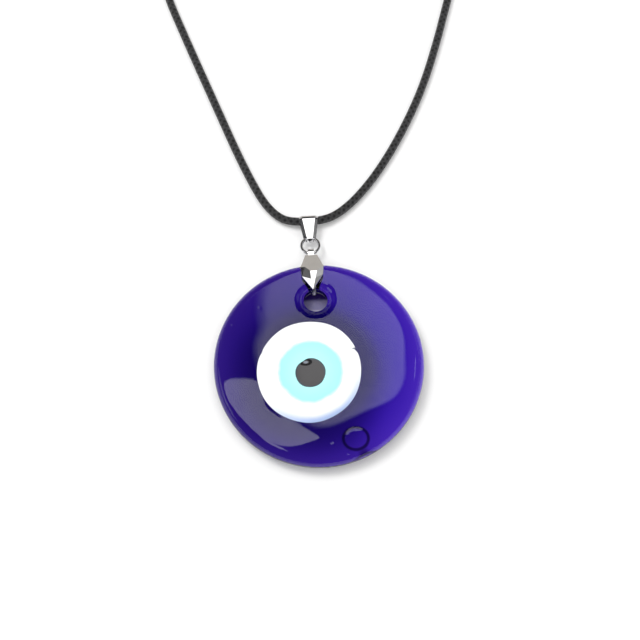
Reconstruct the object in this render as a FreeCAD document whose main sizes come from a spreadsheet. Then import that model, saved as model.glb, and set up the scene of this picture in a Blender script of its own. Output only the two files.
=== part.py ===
"""Evil eye ornament: a glass evil eye pendant that lies face up, on a waxed cord. Millimetres.

The origin is the middle of the flat that the glass disc rests on, so the table is at Z = 0. +Z comes
out of the eye, and +Y runs from the disc to its bails and its cord.
"""
import FreeCAD, Part
import math
import os

import Sketcher
from FreeCAD import Placement, Rotation, Vector

CELLS = (
    # glass disc
    ("disc_radius", 25.0),
    ("disc_thick", 6.0),
    ("flat_radius", 11.5),
    ("foot_width", 3.4),
    ("back_rise", 1.15),
    ("back_edge_rise", 1.35),
    ("rim_height", 2.8),
    ("back_edge", 1.6),
    ("front_edge", 1.8),
    ("front_edge_drop", 1.34),
    ("hole_x", 0.2),
    ("hole_y", 15.7),
    ("hole_radius", 2.85),
    ("front_flare", 2.5),
    ("back_flare", 1.1),
    # glass drops of the eye
    ("eye_x", -2.45),
    ("eye_y", -2.5),
    ("aqua_x", 0.27),
    ("aqua_y", -0.1),
    ("pupil_x", 0.0),
    ("pupil_y", -0.35),
    ("white_radius", 12.25),
    ("aqua_radius", 7.5),
    ("pupil_radius", 3.55),
    ("white_depth", 1.25),
    ("aqua_depth", 0.9),
    ("pupil_depth", 0.8),
    ("white_sink", 0.3),
    ("aqua_step", 0.33),
    ("pupil_step", 0.22),
    ("white_crown", 0.5),
    ("aqua_crown", 0.25),
    ("pupil_crown", 0.12),
    ("glass_seam", 0.02),
    # bails and ring
    ("bail_x", -0.15),
    ("metal_clear", 0.1),
    ("ring_clear", 0.3),
    ("peg_clear", 0.3),
    ("cord_clear", 0.12),
    ("floor_clear", 0.03),
    ("strap_wall", 0.5),
    ("strap_wide", 4.9),
    ("strap_narrow", 2.2),
    ("strap_length", 4.8),
    ("ring_sag", 0.2),
    ("ring_wire", 0.84),
    ("ring_outer", 5.3),
    ("ring_rise", 0.95),
    ("petal_sheet", 0.45),
    ("petal_length", 10.6),
    ("petal_top_width", 2.9),
    ("petal_width", 5.5),
    ("bridge_wide", 1.5),
    ("peg_radius", 0.5),
    ("peg_lean", 15.0),
    ("peg_height", 2.9),
    ("peg_gap", 0.5),
    # cord and its ends
    ("cord_width", 2.0),
    ("coil_x", 2.0),
    ("coil_away", 85.65),
    ("coil_track", 13.4),
    ("coil_pitch", 2.1),
    ("coil_lift", 0.5),
    ("rib_length", 12.5),
    ("tie_wide", 3.0),
    ("tie_thick", 0.4),
    ("tie_slack", 0.25),
    ("crimp_length", 7.0),
    ("crimp_wide", 3.4),
    ("crimp_high", 2.9),
    ("crimp_grip", 5.0),
    ("crimp_round", 0.6),
    ("crimp_turn", 23.5),
    ("tab_radius", 1.55),
    ("tab_hole", 1.0),
    ("tab_thick", 0.55),
    ("tab_slack", 0.05),
    ("small_ring_outer", 4.0),
    ("small_wire", 0.7),
    ("link_length", 6.2),
    ("link_width", 4.2),
    ("link_clear", 0.2),
    ("chain_height", 1.64),
    ("drop_radius", 1.5),
    ("drop_length", 5.0),
    # clasp
    ("clasp_thick", 3.0),
    ("clasp_half_length", 4.6),
    ("clasp_half_width", 3.2),
    ("clasp_open_half", 2.9),
    ("clasp_open_width", 1.6),
    ("clasp_neck", 2.2),
    ("eyelet_radius", 1.8),
    ("lever_thick", 0.9),
    ("lever_slot", 2.0),
    ("lever_width", 1.1),
    ("clasp_pin", 0.45),
    ("pin_fit", 0.03),
    ("spring_wire", 0.25),
    ("spring_radius", 0.72),
    ("spring_pitch", 0.27),
)

CHAIN_LINKS = 9
CHAIN_BEND = 20.0  # degrees from one link to the next
LINK_TILT = 45.0  # degrees that each link leans, to one side and then the other
EYELET_TILT = 25.0  # degrees that the eyelets lean, away from the link or ring in them

# The cord's route: places measured from the middle of the strap bail's eye, and the height above
# the table. It comes off the coil, down the left leg, through the bail and up the right leg.
NECK_POINTS = (
    (-3.0, 99.1, 1.5),
    (-13.3, 99.1, 1.2),
    (-25.6, 93.7, 1.0),
    (-33.0, 83.9, 1.0),
    (-35.0, 71.9, 1.0),
    (-28.6, 53.0, 1.0),
    (-22.0, 34.4, 1.0),
    (-17.0, 20.2, 1.0),
    (-13.5, 11.5, 1.0),
    (-10.6, 5.4, 1.0),
    (-6.9, 1.2, 1.1),
    (-3.3, 0.0, 1.65),
    (3.4, 0.0, 1.65),
    (7.3, 1.6, 1.1),
    (12.4, 5.7, 1.0),
    (18.6, 12.9, 1.0),
    (25.4, 23.4, 1.0),
    (31.8, 35.8, 1.0),
    (36.6, 48.6, 1.0),
    (39.8, 58.4, 1.0),
    (41.8, 64.4, 1.0),
    (40.3, 69.6, 1.0),
    (36.0, 72.3, 1.0),
    (27.5, 73.4, 1.0),
    (15.5, 73.3, 1.2),
    (7.0, 72.35, 1.5),
)
LEFT_TAIL_POINTS = (
    (14.5, 94.85, 3.5),
    (18.0, 95.1, 3.45),
    (22.9, 96.1, 1.5),
    (27.4, 97.8, 1.47),
    (31.9, 99.75, 1.47),
)
RIGHT_TAIL_POINTS = (
    (14.5, 92.75, 3.5),
    (18.0, 92.5, 3.45),
    (22.9, 91.5, 1.5),
    (27.4, 89.8, 1.47),
    (31.9, 87.85, 1.47),
)

document = FreeCAD.newDocument("evil_eye_ornament")
sheet = document.addObject("Spreadsheet::Sheet", "sizes")


class Size:
    """A size from the sheet, or worked out from it: its number, and the formula that binds it."""

    def __init__(self, value, text):
        self.value = float(value)
        self.text = text

    def joined(self, other, sign, value):
        return Size(value, f"({self.text} {sign} {sized(other).text})")

    def __add__(self, other):
        return self.joined(other, "+", self.value + sized(other).value)

    def __sub__(self, other):
        return self.joined(other, "-", self.value - sized(other).value)

    def __mul__(self, other):
        return self.joined(other, "*", self.value * sized(other).value)

    def __truediv__(self, other):
        return self.joined(other, "/", self.value / sized(other).value)

    def __radd__(self, other):
        return sized(other) + self

    def __rsub__(self, other):
        return sized(other) - self

    def __rmul__(self, other):
        return sized(other) * self

    def __neg__(self):
        return sized(0) - self

    def root(self):
        return Size(math.sqrt(self.value), f"sqrt({self.text})")


def sized(number):
    """The number as a Size."""
    return number if isinstance(number, Size) else Size(number, repr(float(number)))


def fill_sheet():
    """Writes every driving size into the sheet, and gives them back by name."""
    sizes = {}
    for row, (name, number) in enumerate(CELLS, start=1):
        sheet.set(f"A{row}", name)
        sheet.set(f"B{row}", str(number))
        sheet.setAlias(f"B{row}", name)
        sizes[name] = Size(number, f"sizes.{name}")
    document.recompute()
    return sizes


S = fill_sheet()

# ---------------------------------------------------------------- places that several pieces share

dome_radius = ((S["disc_radius"] - S["front_edge"]) * (S["disc_radius"] - S["front_edge"])
               + S["front_edge_drop"] * S["front_edge_drop"]) / (2 * S["front_edge_drop"])
hole_top = S["disc_thick"] - S["hole_y"] * S["hole_y"] / (2 * dome_radius)
pivot_y = S["hole_y"] + S["hole_radius"] - S["peg_radius"] - S["peg_clear"]
cord_height = S["cord_width"] / 2 + S["cord_clear"] + S["strap_wall"] + S["floor_clear"]
ring_track = (S["ring_outer"] - S["ring_wire"]) / 2
ring_run = (4 * ring_track * ring_track - S["ring_rise"] * S["ring_rise"]).root()
bridge_y = pivot_y + S["petal_length"]
bridge_z = cord_height + S["ring_rise"]
ring_top_y = bridge_y + ring_run
cord_y = ring_top_y + S["strap_length"] - S["ring_sag"]
coil_y = cord_y + S["coil_away"]
ring_tilt = -math.degrees(math.asin(S["ring_rise"].value / (2 * ring_track.value)))
eye_edge = S["disc_thick"] - S["white_sink"]

# ---------------------------------------------------------------- helpers


def bind(thing, **sizes):
    """Binds properties of an object to sizes, and returns the object."""
    for name, size in sizes.items():
        thing.setExpression(name, sized(size).text)
    return thing


def place(thing, x=0.0, y=0.0, z=0.0, turn=None):
    """Puts an object at bound coordinates, turned by a fixed rotation."""
    where = [sized(part) for part in (x, y, z)]
    thing.Placement = Placement(Vector(*[part.value for part in where]), turn or Rotation())
    for axis, part in zip("xyz", where):
        thing.setExpression(f"Placement.Base.{axis}", part.text)
    return thing


def about(axis, degrees):
    """A turn about X, Y or Z."""
    return Rotation(Vector(*[float(axis == name) for name in "XYZ"]), degrees)


def origin_part(body, role):
    """One of the body's own origin planes or axes."""
    return [part for part in body.Origin.OriginFeatures if part.Role == role][0]


def new_body(name):
    """A PartDesign body of that name."""
    body = document.addObject("PartDesign::Body", name)
    body.Label = name
    return body


def new_sketch(body, name, role="XY_Plane", lift=0.0):
    """An empty sketch on an origin plane of the body, lifted along the plane's normal."""
    sketch = body.newObject("Sketcher::SketchObject", f"{body.Name}_{name}")
    sketch.AttachmentSupport = [(origin_part(body, role), "")]
    sketch.MapMode = "FlatFace"
    height = sized(lift)
    if height.value:
        sketch.AttachmentOffset = Placement(Vector(0, 0, height.value), Rotation())
        sketch.setExpression("AttachmentOffset.Base.z", height.text)
    return sketch


def pin_point(sketch, edge, end, x, y):
    """Fixes one end of an edge, or a circle's centre, at bound coordinates."""
    for kind, axis, part in (("DistanceX", -2, sized(x)), ("DistanceY", -1, sized(y))):
        if part.value == 0.0:
            sketch.addConstraint(Sketcher.Constraint("PointOnObject", edge, end, axis))
        else:
            rule = Sketcher.Constraint(kind, -1, 1, edge, end, part.value)
            index = sketch.addConstraint(rule)
            sketch.setExpression(f"Constraints[{index}]", part.text)


def arc_edge(sketch, first, last, radius):
    """Adds an arc of under half a circle. A radius above 0 bulges to the right of first to last."""
    chord = last - first
    sagitta = abs(radius) - math.sqrt(radius**2 - chord.Length**2 / 4)
    side = Vector(chord.y, -chord.x, 0).normalize()
    middle = (first + last) / 2 + side * math.copysign(sagitta, radius)
    return sketch.addGeometry(Part.ArcOfCircle(first, middle, last), False)


def outline(sketch, *points):
    """Closes an outline through points (x, y), or (x, y, radius) where an arc ends.

    An arc bulges out of an anticlockwise outline where its radius is above 0, and into it below 0.
    """
    spots = [(sized(point[0]), sized(point[1])) for point in points]
    edges = []
    for index, point in enumerate(points):
        first = Vector(spots[index - 1][0].value, spots[index - 1][1].value, 0)
        last = Vector(spots[index][0].value, spots[index][1].value, 0)
        if len(point) == 2:
            edge = sketch.addGeometry(Part.LineSegment(first, last), False)
        else:
            edge = arc_edge(sketch, first, last, sized(point[2]).value)
        forward = sketch.getPoint(edge, 1).isEqual(first, 1e-6)
        edges.append((edge, 1, 2) if forward else (edge, 2, 1))
    for index, (edge, _, head) in enumerate(edges):
        follower, start, _ = edges[(index + 1) % len(edges)]
        sketch.addConstraint(Sketcher.Constraint("Coincident", edge, head, follower, start))
        pin_point(sketch, edge, head, *spots[index])
    for (edge, _, _), point in zip(edges, points):
        if len(point) == 3:
            radius = sized(point[2])
            radius = radius if radius.value > 0 else -radius
            rule = sketch.addConstraint(Sketcher.Constraint("Radius", edge, radius.value))
            sketch.setExpression(f"Constraints[{rule}]", radius.text)
    return sketch


def circle(sketch, x, y, radius):
    """Adds a bound circle to a sketch."""
    centre = Vector(sized(x).value, sized(y).value, 0)
    edge = sketch.addGeometry(Part.Circle(centre, Vector(0, 0, 1), sized(radius).value), False)
    rule = sketch.addConstraint(Sketcher.Constraint("Radius", edge, sized(radius).value))
    sketch.setExpression(f"Constraints[{rule}]", sized(radius).text)
    pin_point(sketch, edge, 3, x, y)
    return sketch


def feature(body, kind, sketch, **settings):
    """Adds a PartDesign feature on a sketch."""
    made = body.newObject(f"PartDesign::{kind}", f"{sketch.Name}_{kind}")
    made.Profile = sketch
    for name, value in settings.items():
        setattr(made, name, value)
    sketch.Visibility = False
    return made


def spun(name, *points):
    """A body turned about Z from an outline (radius, height)."""
    body = new_body(name)
    sketch = outline(new_sketch(body, "profile", "XZ_Plane"), *points)
    feature(body, "Revolution", sketch, ReferenceAxis=(origin_part(body, "Z_Axis"), [""]))
    return body


def padded(body, sketch, length):
    """A pad that grows evenly to both sides of its sketch."""
    return bind(feature(body, "Pad", sketch, Midplane=True), Length=length)


def boolean(kind, name, base, tool):
    """A Part cut or common of two objects."""
    made = document.addObject(f"Part::{kind}", name)
    made.Base = base
    made.Tool = tool
    made.Label = name
    return made


def fused(name, *pieces):
    """A Part fuse of several objects."""
    made = document.addObject("Part::MultiFuse", name)
    made.Shapes = list(pieces)
    made.Refine = True
    made.Label = name
    return made


def solid(kind, name, **sizes):
    """A bound Part primitive."""
    return bind(document.addObject(f"Part::{kind}", name), **sizes)


def ring(name, outer, wire, x, y, z, turn=None):
    """A plain closed wire ring."""
    made = solid("Torus", name, Radius1=(outer - wire) / 2, Radius2=wire / 2)
    made.Label = name
    return place(made, x, y, z, turn)


def shaped(name, shape):
    """A piece whose shape the code gives."""
    made = document.addObject("Part::Feature", name)
    made.Shape = shape
    made.Label = name
    return made


# ---------------------------------------------------------------- glass


def nose(inset, height):
    """Radius of an edge arc that is upright at the rim."""
    return (inset * inset + height * height) / (2 * inset)


def make_disc():
    """The glass disc: a domed front, a rounded rim, and a back raised round the flat it lies on."""
    front = S["disc_thick"] - S["front_edge_drop"]
    blank = spun(
        "disc_blank",
        (0, 0),
        (S["flat_radius"], 0),
        (S["flat_radius"] + S["foot_width"], S["back_rise"]),
        (S["disc_radius"] - S["back_edge"], S["back_edge_rise"]),
        (S["disc_radius"], S["rim_height"],
         nose(S["back_edge"], S["rim_height"] - S["back_edge_rise"])),
        (S["disc_radius"] - S["front_edge"], front,
         nose(S["front_edge"], front - S["rim_height"])),
        (0, S["disc_thick"], dome_radius),
    )
    wide = S["hole_radius"] + S["front_flare"]
    mouth = S["hole_radius"] + S["back_flare"]
    over = S["disc_thick"] + 2
    hole = spun(
        "hole_tool",
        (0, -1),
        (mouth, -1),
        (mouth, S["back_rise"]),
        (S["hole_radius"], S["back_rise"] + S["back_flare"], -S["back_flare"]),
        (S["hole_radius"], hole_top - S["front_flare"]),
        (wide, hole_top, -S["front_flare"]),
        (wide, over),
        (0, over),
    )
    place(hole, S["hole_x"], S["hole_y"], 0)
    recess = solid("Cylinder", "white_recess", Radius=S["white_radius"] + S["glass_seam"],
                   Height=S["disc_thick"])
    place(recess, S["eye_x"], S["eye_y"], eye_edge - S["white_depth"] - S["glass_seam"])
    return boolean("Cut", "glass_disc", boolean("Cut", "pierced_disc", blank, hole), recess)


def make_drop(name, x, y, radius, edge, depth, crown):
    """A drop of glass: a flat-bottomed lens let into the glass below it."""
    arch = (radius * radius + crown * crown) / (2 * crown)
    lens = spun(name, (0, edge - depth), (radius, edge - depth), (radius, edge),
                (0, edge + crown, arch))
    return place(lens, x, y, 0)


def make_eye():
    """The white, aqua and dark drops, each one let into the drop below it."""
    aqua_x, aqua_y = S["eye_x"] + S["aqua_x"], S["eye_y"] + S["aqua_y"]
    pupil_x, pupil_y = aqua_x + S["pupil_x"], aqua_y + S["pupil_y"]
    aqua_edge = eye_edge + S["aqua_step"]
    pupil_edge = aqua_edge + S["pupil_step"]
    white = make_drop("white_lens", S["eye_x"], S["eye_y"], S["white_radius"], eye_edge,
                      S["white_depth"], S["white_crown"])
    aqua = make_drop("aqua_lens", aqua_x, aqua_y, S["aqua_radius"], aqua_edge,
                     S["aqua_depth"], S["aqua_crown"])
    pupil = make_drop("eye_pupil", pupil_x, pupil_y, S["pupil_radius"], pupil_edge,
                      S["pupil_depth"], S["pupil_crown"])
    aqua_recess = solid("Cylinder", "aqua_recess", Radius=S["aqua_radius"] + S["glass_seam"],
                        Height=S["disc_thick"])
    place(aqua_recess, aqua_x, aqua_y, aqua_edge - S["aqua_depth"] - S["glass_seam"])
    pupil_recess = solid("Cylinder", "pupil_recess", Radius=S["pupil_radius"] + S["glass_seam"],
                         Height=S["disc_thick"])
    place(pupil_recess, pupil_x, pupil_y, pupil_edge - S["pupil_depth"] - S["glass_seam"])
    return [boolean("Cut", "eye_white", white, aqua_recess),
            boolean("Cut", "eye_aqua", aqua, pupil_recess), pupil]


# ---------------------------------------------------------------- bails and ring


def teardrop(sketch, large, small, length):
    """A loop's side view: two round ends on the Y axis, the large one at 0, with straight flanks."""
    lean = (large - small) / length
    rise = (1 - lean * lean).root()
    return outline(
        sketch,
        (-large * lean, -large * rise),
        (large, 0, large),
        (-large * lean, large * rise, large),
        (-length - small * lean, small * rise),
        (-length - small, 0, small),
        (-length - small * lean, -small * rise, small),
    )


def make_cord_bail():
    """The strap bail: sheet folded over the cord, tapering to a hook round the jump ring."""
    body = new_body("cord_bail")
    eye = S["cord_width"] / 2 + S["cord_clear"]
    hook = S["ring_wire"] / 2 + S["ring_clear"]
    side = new_sketch(body, "side", "YZ_Plane")
    teardrop(side, eye + S["strap_wall"], hook + S["strap_wall"], S["strap_length"])
    teardrop(side, eye, hook, S["strap_length"])
    padded(body, side, S["strap_wide"])
    flanks = new_sketch(body, "flanks")
    top, low = eye + S["strap_wall"], -S["strap_length"] - hook - S["strap_wall"]
    for sign in (1, -1):
        outer = S["strap_wide"] * sign
        wide, narrow = S["strap_wide"] / 2 * sign, S["strap_narrow"] / 2 * sign
        outline(flanks, (wide, top - 0.4), (wide, top + 1), (outer, top + 1), (outer, low - 1),
                (narrow, low - 1), (narrow, low + 0.3))
    feature(body, "Pocket", flanks, Type="ThroughAll", Midplane=True)
    return place(body, S["bail_x"], cord_y, cord_height)


def facets(points, faces):
    """A closed solid from named corner points and flat faces."""
    sides = [Part.Face(Part.makePolygon([points[name] for name in face] + [points[face[0]]]))
             for face in faces]
    return Part.makeSolid(Part.makeShell(sides))


def petal_heights(side, low_y, tip_y):
    """Heights of a petal's outer corners: clear of the glass in front, and of the table behind."""
    sheet_deep = S["petal_sheet"].value
    fold = S["ring_wire"].value / 2 + S["ring_clear"].value + sheet_deep
    if side > 0:
        wide = (S["disc_thick"] - S["front_edge_drop"]).value + 1.35 * sheet_deep
        low, tip = (S["disc_thick"].value - y * y / (2 * dome_radius.value) + 1.5 * sheet_deep
                    for y in (low_y, tip_y))
        return {"top": bridge_z.value + fold, "brow": wide + 0.4 * sheet_deep, "wide": wide,
                "crest": wide + 1.65 * sheet_deep, "ridge": low + 1.5 * sheet_deep,
                "low": low, "tip": tip}
    below = S["back_edge_rise"].value - 1.9 * sheet_deep
    floor = S["floor_clear"].value
    return {"top": bridge_z.value - fold, "brow": 4 * floor, "crest": 4 * floor,
            "ridge": 2 * floor, "wide": below, "low": below, "tip": below}


def petal_shape(side):
    """One faceted petal of the pinch bail, over the front (side 1) or under the back (side -1).

    Its outline runs from the bridge to a tip by the peg, and its face is cut in flats that meet at
    five inner corners. The inside follows the outline, one sheet deeper.
    """
    top, tip = bridge_y.value - 0.85, pivot_y.value + 0.1
    reach = top - tip
    half_top, half = S["petal_top_width"].value / 2, S["petal_width"].value / 2
    height = petal_heights(side, top - 0.6 * reach, tip)
    corners = {
        "top_left": (-half_top, top, "top"),
        "top_right": (half_top, top, "top"),
        "wide_right": (half + 0.05, top - 0.37 * reach, "wide"),
        "low_right": (half - 0.2, top - 0.6 * reach, "low"),
        "tip": (-0.1, tip, "tip"),
        "low_left": (0.2 - half, top - 0.63 * reach, "low"),
        "wide_left": (-half, top - 0.37 * reach, "wide"),
    }
    inner = {
        "brow": (-1.7, top - 0.38 * reach, "brow"),
        "crest_left": (-0.5, top - 0.51 * reach, "crest"),
        "crest_right": (1.15, top - 0.51 * reach, "crest"),
        "ridge_left": (-0.4, top - 0.73 * reach, "ridge"),
        "ridge_right": (0.65, top - 0.705 * reach, "ridge"),
    }
    points = {name: Vector(x, y, height[level]) for name, (x, y, level) in
              list(corners.items()) + list(inner.items())}
    points.update({f"in_{name}": points[name] - Vector(0, 0, side * S["petal_sheet"].value)
                   for name in corners})
    face = [
        ("top_left", "brow", "crest_left"),
        ("top_left", "crest_left", "crest_right"),
        ("top_left", "crest_right", "top_right"),
        ("top_left", "wide_left", "brow"),
        ("wide_left", "low_left", "brow"),
        ("brow", "low_left", "ridge_left"),
        ("brow", "ridge_left", "crest_left"),
        ("low_left", "tip", "ridge_left"),
        ("ridge_left", "tip", "ridge_right"),
        ("crest_left", "ridge_left", "ridge_right"),
        ("crest_left", "ridge_right", "crest_right"),
        ("top_right", "crest_right", "wide_right"),
        ("crest_right", "low_right", "wide_right"),
        ("crest_right", "ridge_right", "low_right"),
        ("ridge_right", "tip", "low_right"),
    ]
    inside = [
        ("in_top_left", "in_top_right", "in_wide_right", "in_wide_left"),
        ("in_wide_left", "in_wide_right", "in_low_right"),
        ("in_wide_left", "in_low_right", "in_low_left"),
        ("in_low_left", "in_low_right", "in_tip"),
    ]
    rim = list(corners)
    wall = []
    for index, name in enumerate(rim):
        after = rim[(index + 1) % len(rim)]
        wall += [(name, after, f"in_{name}"), (after, f"in_{after}", f"in_{name}")]
    shape = facets(points, face + inside + wall)
    if shape.Volume < 0:
        shape.reverse()
    return shape


def make_pinch_bail():
    """The pinch bail: two faceted petals, the bridge round the ring, and a peg on each petal."""
    wire = S["ring_wire"] / 2 + S["ring_clear"]
    outer = wire + S["petal_sheet"]
    leg = -(wire + S["petal_sheet"] * 2)
    bridge = new_body("pinch_bridge")
    side = outline(
        new_sketch(bridge, "side", "YZ_Plane"),
        (leg, -outer), (0, -outer), (outer, 0, outer), (0, outer, outer), (leg, outer),
        (leg, wire), (0, wire), (wire, 0, -wire), (0, -wire, -wire), (leg, -wire),
    )
    padded(bridge, side, S["bridge_wide"])
    place(bridge, 0, bridge_y, bridge_z)
    pegs = []
    for name, sign, root in (("front_peg", 1, 5.55), ("back_peg", -1, 0.6)):
        run = (sized(root) - S["peg_height"]) * sign
        made = solid("Cylinder", name, Radius=S["peg_radius"], Height=run - S["peg_gap"] / 2)
        away = run * math.tan(math.radians(S["peg_lean"].value))
        turn = about("X", 180 - S["peg_lean"].value if sign > 0 else S["peg_lean"].value)
        pegs.append(place(made, 0.15, pivot_y + away, root, turn))
    petals = [shaped("front_petal", petal_shape(1)), shaped("back_petal", petal_shape(-1))]
    return place(fused("pinch_bail", bridge, *petals, *pegs), S["bail_x"], 0, 0)


def make_jump_ring():
    """The ring that links the two bails."""
    return ring("jump_ring", S["ring_outer"], S["ring_wire"], S["bail_x"],
                bridge_y + ring_run / 2, cord_height + S["ring_rise"] / 2,
                about("X", ring_tilt))


# ---------------------------------------------------------------- cord


def tube_path(name, points):
    """Straight runs joined by tangent arcs, each as large as its two runs allow."""
    edges, radii, start = [], [], points[0]
    for before, corner, after in zip(points, points[1:], points[2:]):
        to_before, to_after = before - corner, after - corner
        turn = math.pi - to_before.getAngle(to_after)
        reach = 0.45 * min(to_before.Length, to_after.Length)
        radius = reach / math.tan(turn / 2)
        first = corner + to_before.normalize() * reach
        last = corner + to_after.normalize() * reach
        outwards = (first + last) / 2 - corner
        depth = radius / math.cos(turn / 2) - radius
        edges.append(Part.LineSegment(start, first).toShape())
        edges.append(Part.Arc(first, corner + outwards.normalize() * depth, last).toShape())
        radii.append(round(radius, 1))
        start = last
    edges.append(Part.LineSegment(start, points[-1]).toShape())
    print(name, "bend radii, mm:", radii)
    return Part.Wire(edges)


def make_tube(name, route):
    """A length of cord along its route, which is measured from the strap bail's eye."""
    away = Vector(S["bail_x"].value, cord_y.value, 0)
    points = [Vector(*point) + away for point in route]
    path = tube_path(name, points)
    radius = S["cord_width"].value / 2
    section = Part.Wire(Part.makeCircle(radius, points[0], points[1] - points[0]))
    tube = path.makePipeShell([section], True, False)
    ideal = math.pi * radius**2 * path.Length
    print(name, "length", round(path.Length, 1), "volume ratio", round(tube.Volume / ideal, 4))
    return shaped(name, tube)


def make_coil():
    """The put-away turns: a flat ring, with a rib where the two ends cross over it."""
    low, thick = S["coil_lift"], S["cord_width"]
    outer = S["coil_track"] + thick / 2
    inner = S["coil_track"] - 3 * S["coil_pitch"] - thick / 2
    ring_body = solid("Cylinder", "coil_outer", Radius=outer, Height=thick)
    middle = solid("Cylinder", "coil_inner", Radius=inner, Height=thick * 2)
    place(middle, 0, 0, -thick / 2)
    rib = solid("Box", "coil_rib", Length=S["rib_length"], Width=S["coil_pitch"] + thick,
                Height=thick * 2)
    place(rib, 0, inner, 0)
    flat = boolean("Cut", "coil_turns", ring_body, middle)
    return place(fused("cord_coil", flat, rib), S["bail_x"] + S["coil_x"], coil_y, low)


def make_tie():
    """A flat band round the turns of the coil, on the side away from the crossing."""
    thick, gap = S["tie_thick"], S["glass_seam"]
    turns = 3 * S["coil_pitch"] + S["cord_width"]
    inner_wide, inner_high = turns + gap + S["tie_slack"], S["cord_width"] + 2 * gap
    shell = solid("Box", "tie_shell", Length=inner_wide + 2 * thick, Width=S["tie_wide"],
                  Height=inner_high + 2 * thick)
    hollow = solid("Box", "tie_hollow", Length=inner_wide, Width=S["tie_wide"] * 2,
                   Height=inner_high)
    place(hollow, thick, -S["tie_wide"] / 2, thick)
    left = S["coil_track"] + S["cord_width"] / 2 + gap + thick
    return place(boolean("Cut", "coil_tie", shell, hollow),
                 S["bail_x"] + S["coil_x"] - left, coil_y - S["tie_wide"] / 2,
                 S["coil_lift"] - thick - gap)


# ---------------------------------------------------------------- cord ends


def spot_after(spot, heading, distance):
    """A place some way along a heading in the plane of the table."""
    angle = math.radians(heading)
    return spot + Vector(math.cos(angle), math.sin(angle), 0) * distance


def make_crimp(name, route, heading):
    """A folded crimp over the end of the cord, with an upright tab for a ring.

    It gives the tab hole's middle, and the crimp.
    """
    away = Vector(S["bail_x"].value, cord_y.value, 0)
    mouth = spot_after(Vector(*route[-1]) + away, heading, -S["crimp_grip"].value)
    high, wide, long = S["crimp_high"], S["crimp_wide"], S["crimp_length"]
    block = solid("Box", f"{name}_block", Length=long, Width=wide, Height=high)
    place(block, 0, -wide / 2, -high / 2)
    document.recompute()
    rounded = document.addObject("Part::Fillet", f"{name}_rounded")
    rounded.Base = block
    rounded.Edges = [(number, S["crimp_round"].value, S["crimp_round"].value)
                     for number, edge in enumerate(block.Shape.Edges, start=1)
                     if abs(edge.tangentAt(edge.FirstParameter).x) > 0.9]
    bore = solid("Cylinder", f"{name}_bore", Radius=S["cord_width"] / 2,
                 Height=S["crimp_grip"] + 1)
    place(bore, -1, 0, 0, about("Y", 90))
    tab_rise = S["chain_height"] - sized(route[-1][2])
    tab_x = long + S["tab_hole"]
    tab = solid("Cylinder", f"{name}_tab", Radius=S["tab_radius"], Height=S["tab_thick"])
    place(tab, tab_x, S["tab_thick"] / 2, tab_rise, about("X", 90))
    hole = solid("Cylinder", f"{name}_hole", Radius=S["tab_hole"], Height=S["tab_thick"] * 3)
    place(hole, tab_x, S["tab_thick"] * 1.5, tab_rise, about("X", 90))
    joined = fused(f"{name}_joined", rounded, tab)
    bored = boolean("Cut", f"{name}_bored", joined, bore)
    crimp = boolean("Cut", name, bored, hole)
    place(crimp, mouth.x, mouth.y, mouth.z, about("Z", heading))
    tab_place = spot_after(mouth, heading, tab_x.value)
    return Vector(tab_place.x, tab_place.y, S["chain_height"].value), crimp


def make_small_ring(name, tab, heading, tilt):
    """The ring through a crimp's tab. It gives the ring wire's middle at each end, and the ring."""
    track = (S["small_ring_outer"].value - S["small_wire"].value) / 2
    near = spot_after(tab, heading, S["tab_slack"].value)
    middle = spot_after(near, heading, track)
    turn = about("Z", heading) * about("X", tilt)
    made = ring(name, S["small_ring_outer"], S["small_wire"], middle.x, middle.y, middle.z, turn)
    return near, spot_after(middle, heading, track), made


def make_link(name, middle, heading, tilt):
    """An oval chain link, lying on one side of its wire."""
    body = new_body(name)
    wire = S["small_wire"] / 2
    bow = S["link_width"] / 2 - wire
    half = S["link_length"] / 2 - wire - bow
    path = new_sketch(body, "path")
    outline(path, (half, -bow), (half + bow, 0, bow), (half, bow, bow), (-half, bow),
            (-half - bow, 0, bow), (-half, -bow, bow), (0, -bow))
    section = circle(new_sketch(body, "wire", "YZ_Plane"), -bow, 0, wire)
    pipe = body.newObject("PartDesign::AdditivePipe", f"{name}_pipe")
    pipe.Profile = section
    pipe.Spine = path
    return place(body, middle.x, middle.y, middle.z, about("Z", heading) * about("X", tilt))


def make_end_drop(near, heading):
    """The drop at the end of the extender chain: a flat eyelet and a turned drop behind it."""
    wire, track = S["small_wire"] / 2, S["eyelet_radius"] - S["small_wire"] / 2
    eyelet = solid("Torus", "drop_eyelet", Radius1=track, Radius2=wire)
    middle = spot_after(near, heading, track.value - 2 * wire.value - S["link_clear"].value)
    place(eyelet, turn=about("X", EYELET_TILT))
    long, fat = S["drop_length"], S["drop_radius"]
    arch = (long * long / 4 + fat * fat) / (2 * fat)
    bead = spun("drop_bead", (0, 0), (wire * 1.25, 0), (fat, long * 0.6, arch * 1.4),
                (wire, long, fat * 1.35), (0, long))
    place(bead, track + wire * 0.2, 0, 0, about("Y", 90))
    drop = fused("end_drop", eyelet, bead)
    return place(drop, middle.x, middle.y, middle.z, about("Z", heading))


def make_chain(tab, heading):
    """The chain ring, the extender chain and the drop at its end, with the joint places."""
    near, far, first = make_small_ring("chain_ring", tab, heading, LINK_TILT)
    pieces, joints = [first], [("chain_ring", near)]
    gap = S["small_wire"].value + S["link_clear"].value
    half = S["link_length"].value / 2 - S["small_wire"].value / 2
    for number in range(1, CHAIN_LINKS + 1):
        tilt = LINK_TILT * (-1) ** number
        middle = spot_after(far, heading, half - gap)
        name = f"chain_link_{number}"
        pieces.append(make_link(name, middle, heading, tilt))
        joints.append((name, far))
        far = spot_after(middle, heading, half)
        heading += CHAIN_BEND
    pieces.append(make_end_drop(far, heading))
    joints.append(("end_drop", far))
    return pieces, joints


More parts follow.
